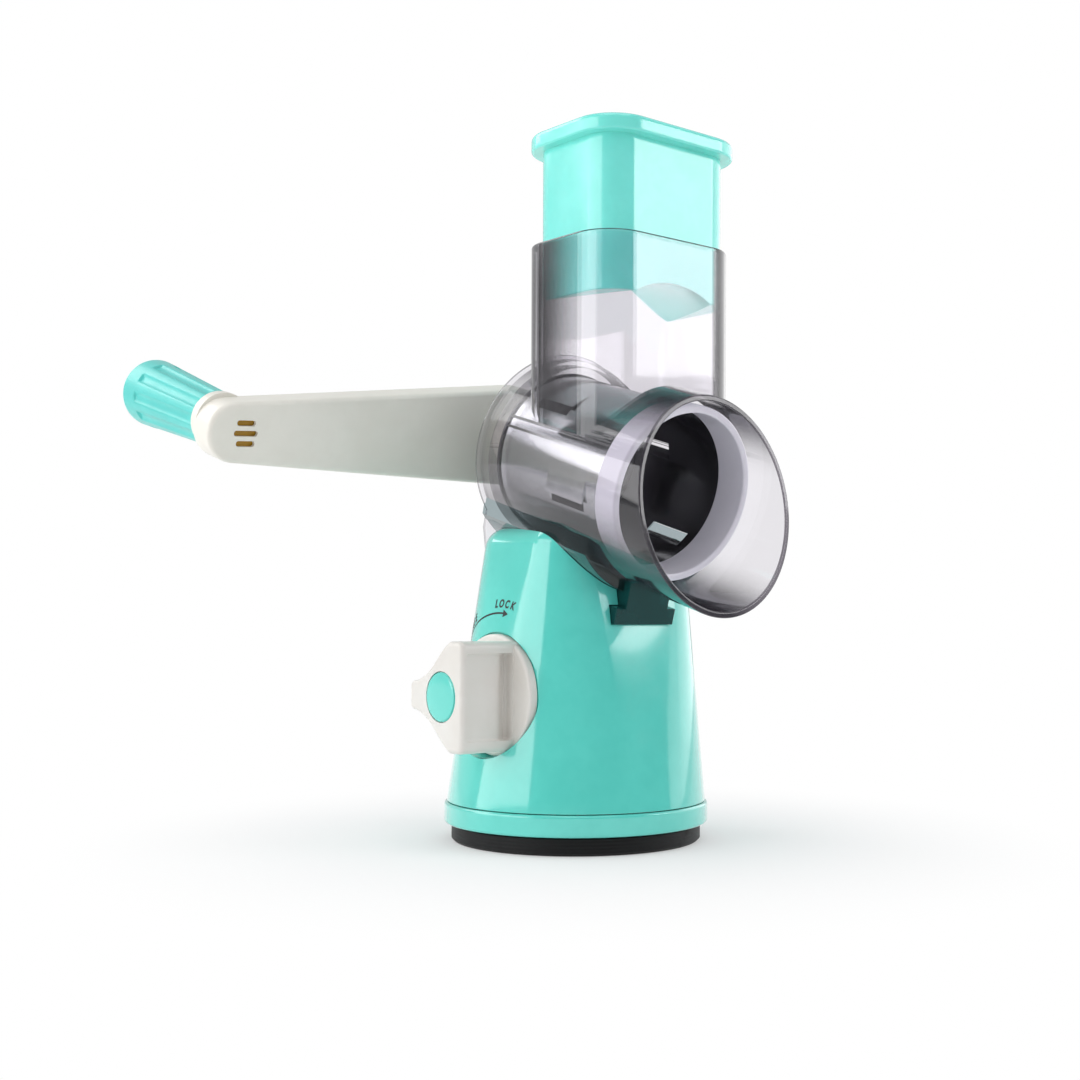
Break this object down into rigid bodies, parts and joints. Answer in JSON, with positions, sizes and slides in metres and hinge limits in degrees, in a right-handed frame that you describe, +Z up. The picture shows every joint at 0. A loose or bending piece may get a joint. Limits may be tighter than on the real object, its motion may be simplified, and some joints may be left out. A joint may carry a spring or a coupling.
{
  "type": "rotary cheese grater",
  "caption": "Hand-cranked rotary cheese grater: slicing drum in a clear tilted housing with a square feed hopper and pusher, on a pedestal held down by a suction foot.",
  "frame": {"origin": "middle of the suction pad's flat underside", "axes": "+Z up, -Y towards the drum's open mouth, +Y towards the crank, -X towards the lock knob and the crank arm's grip"},
  "size_m": [0.2238, 0.2324, 0.3143],
  "materials": {
    "turquoise_plastic": "glossy turquoise plastic",
    "white_plastic": "satin white plastic",
    "arm_plastic": "satin warm grey-white plastic",
    "clear_plastic": "polished clear plastic with a slight smoky tint",
    "steel": "fine brushed stainless steel",
    "rubber": "matte black rubber",
    "amber_plastic": "amber plastic"
  },
  "bodies": {
    "base": {"suction_pad": "rubber", "foot_ring": "turquoise_plastic", "pressure_plate": "white_plastic", "plate_screw_1": "steel", "plate_screw_2": "steel", "plate_screw_3": "steel", "plate_screw_4": "steel", "pedestal": "turquoise_plastic"},
    "knob": {"lock_knob": "white_plastic", "knob_cap": "turquoise_plastic", "knob_screw": "steel", "cam_shaft": "white_plastic"},
    "plunger": {"lift_plunger": "white_plastic"},
    "housing": {"feed_housing": "clear_plastic", "bearing_bush": "white_plastic"},
    "rotor": {"drum_sleeve": "steel", "drum_front_ring": "white_plastic", "drum_rear_hub": "white_plastic", "drive_shaft": "steel", "crank_arm": "arm_plastic", "slot_plate": "amber_plastic", "crank_screw": "steel", "hub_cap": "arm_plastic", "grip_pin": "steel"},
    "grip": {"grip_handle": "turquoise_plastic", "grip_cap": "turquoise_plastic"},
    "pusher": {"pusher": "turquoise_plastic"}
  },
  "joints": [
    {"name": "knob_turn", "type": "hinge", "parent": "base", "child": "knob", "pos_m": [0, -0.003, 0.068], "axis": [1, 0, 0], "range_deg": [0, 90]},
    {"name": "plunger_lift", "type": "slide", "parent": "base", "child": "plunger", "axis": [0, 0, 1], "range_m": [0, 0.00301]},
    {"name": "housing_slide", "type": "slide", "parent": "base", "child": "housing", "axis": [0, 0.9613, 0.2756], "range_m": [0, 0.088]},
    {"name": "crank_turn", "type": "hinge", "parent": "housing", "child": "rotor", "pos_m": [0, 0, 0.176], "axis": [0, 0.9613, 0.2756], "continuous": true},
    {"name": "grip_spin", "type": "hinge", "parent": "rotor", "child": "grip", "pos_m": [-0.14734, 0.0986, 0.19676], "axis": [0, 0.9613, 0.2756], "continuous": true},
    {"name": "pusher_slide", "type": "slide", "parent": "housing", "child": "pusher", "axis": [0, 0, 1], "range_m": [-0.041, 0.06]}
  ],
  "couplings": [
    {"joint": "plunger_lift", "follows": "knob_turn", "m_per_rad": 0.0019099}
  ]
}
